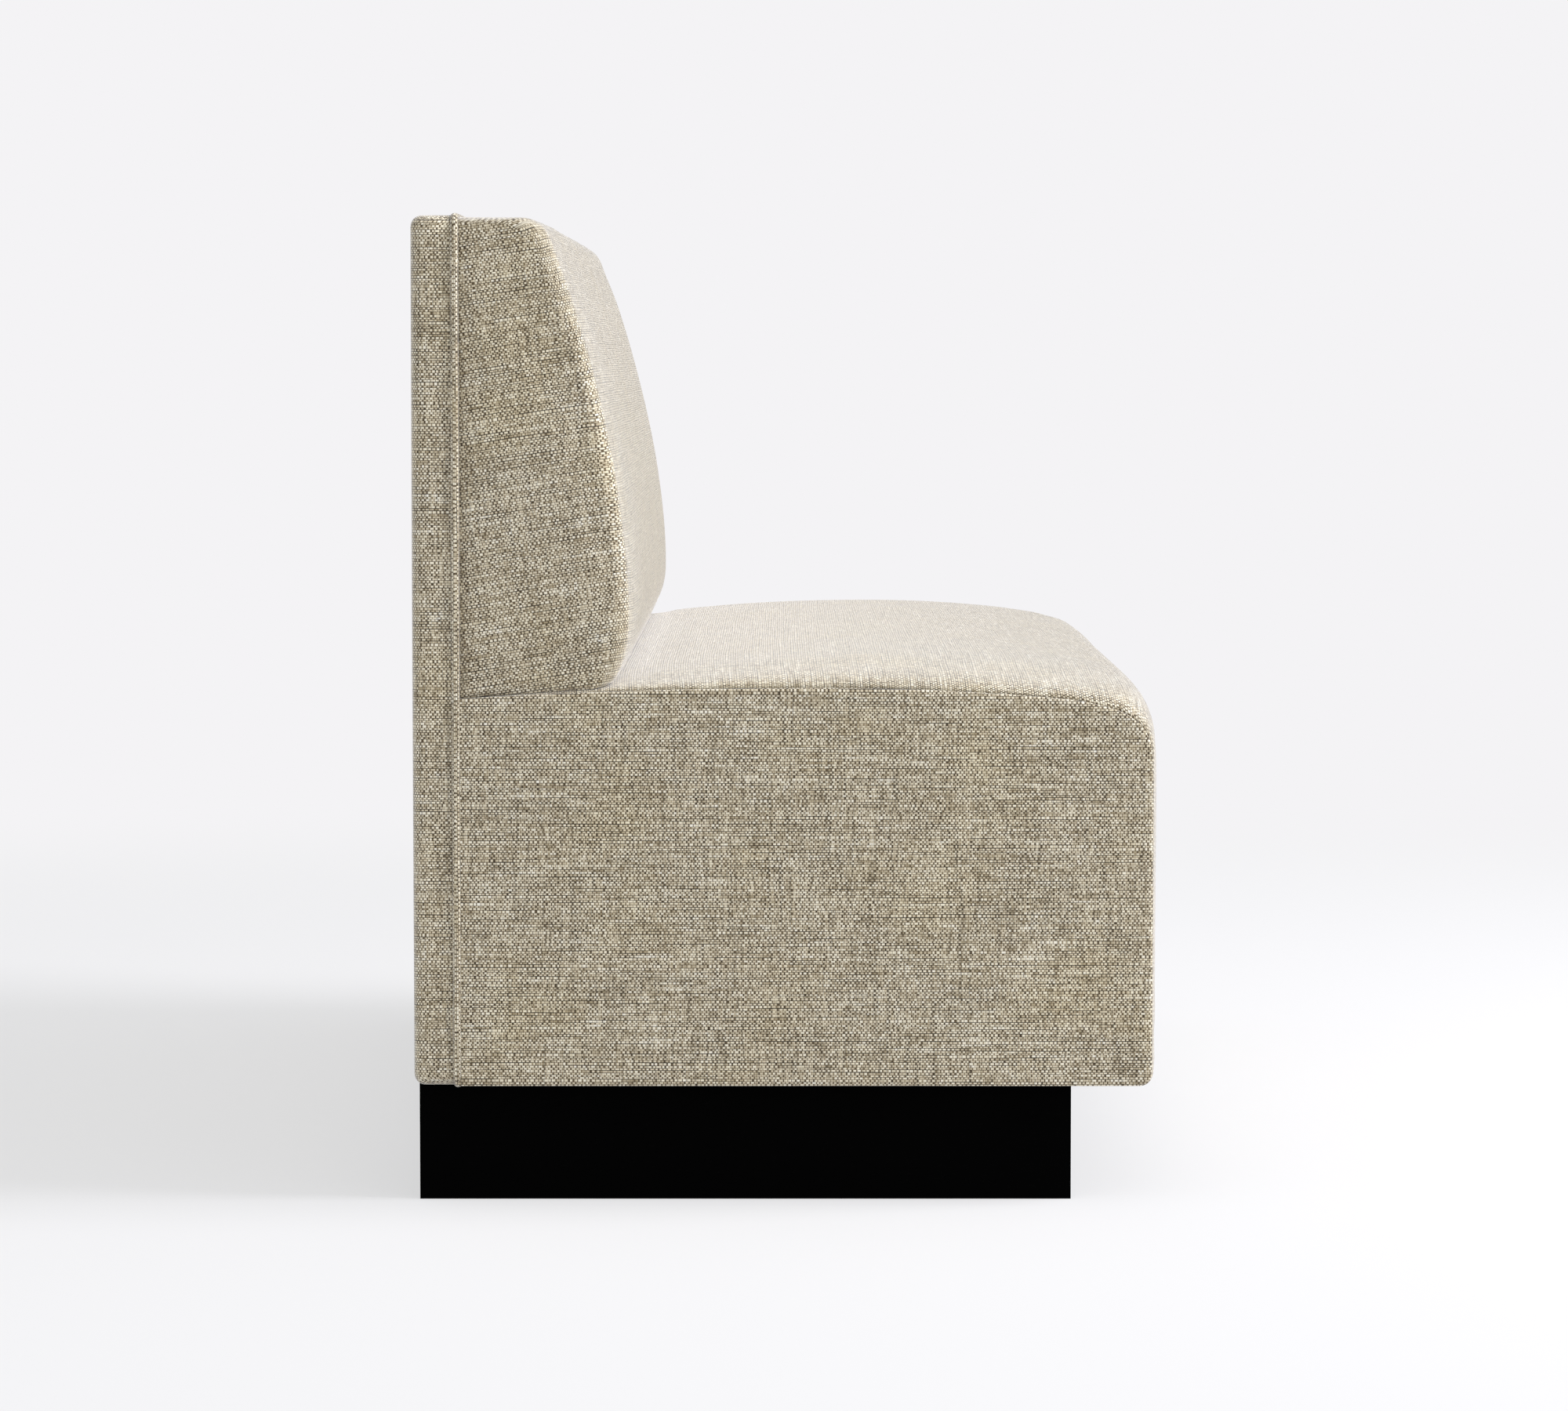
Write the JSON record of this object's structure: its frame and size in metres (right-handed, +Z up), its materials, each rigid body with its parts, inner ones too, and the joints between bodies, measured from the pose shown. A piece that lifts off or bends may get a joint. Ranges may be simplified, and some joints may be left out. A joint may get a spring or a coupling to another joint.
{
  "type": "banquette",
  "caption": "Straight upholstered bench seat with a padded back, piped outside back and recessed black plinth.",
  "frame": {"origin": "on the floor, at the middle of the plan of the whole bench", "axes": "+X along the bench, +Y towards the outside back so that a sitter faces -Y, +Z up"},
  "size_m": [1.3244, 0.683, 0.9042],
  "materials": {
    "upholstery_fabric": "matte",
    "welt_fabric": "matte",
    "black_paint": "matte",
    "plywood": "matte",
    "frame_timber": "matte",
    "hardboard": "satin",
    "foam": "matte",
    "polyester_fibre": "matte",
    "elastic_webbing": "matte",
    "deck_cloth": "matte",
    "black_cambric": "matte",
    "zinc_steel": "satin"
  },
  "bodies": {
    "root": {"seat_top_cover": "upholstery_fabric", "seat_left_cover": "upholstery_fabric", "seat_right_cover": "upholstery_fabric", "back_cushion_cover": "upholstery_fabric", "outside_back_cover": "upholstery_fabric", "back_welt": "welt_fabric", "plinth_front_board": "black_paint", "plinth_rear_board": "black_paint", "plinth_left_board": "black_paint", "plinth_right_board": "black_paint", "plinth_cross_braces": "plywood", "seat_left_gable": "plywood", "seat_right_gable": "plywood", "seat_front_board": "plywood", "seat_rear_board": "plywood", "seat_bearer": "plywood", "seat_stretchers": "plywood", "plinth_cleats": "frame_timber", "seat_corner_blocks": "frame_timber", "back_left_post": "frame_timber", "back_right_post": "frame_timber", "back_lower_rail": "frame_timber", "back_middle_rail": "frame_timber", "back_tack_rail": "frame_timber", "back_top_rail": "frame_timber", "back_panel": "hardboard", "seat_foam": "foam", "seat_front_foam": "foam", "back_foam": "foam", "seat_fibre_wrap": "polyester_fibre", "back_fibre_wrap": "polyester_fibre", "seat_left_wadding": "polyester_fibre", "seat_right_wadding": "polyester_fibre", "back_rear_wadding": "polyester_fibre", "seat_long_webbing": "elastic_webbing", "seat_cross_webbing": "elastic_webbing", "back_upright_webbing": "elastic_webbing", "back_level_webbing": "elastic_webbing", "seat_deck_cloth": "deck_cloth", "back_deck_cloth": "deck_cloth", "dust_cover": "black_cambric", "plinth_screws": "zinc_steel", "back_bolts": "zinc_steel", "bolt_washers": "zinc_steel", "back_tee_nuts": "zinc_steel"}
  },
  "joints": []
}
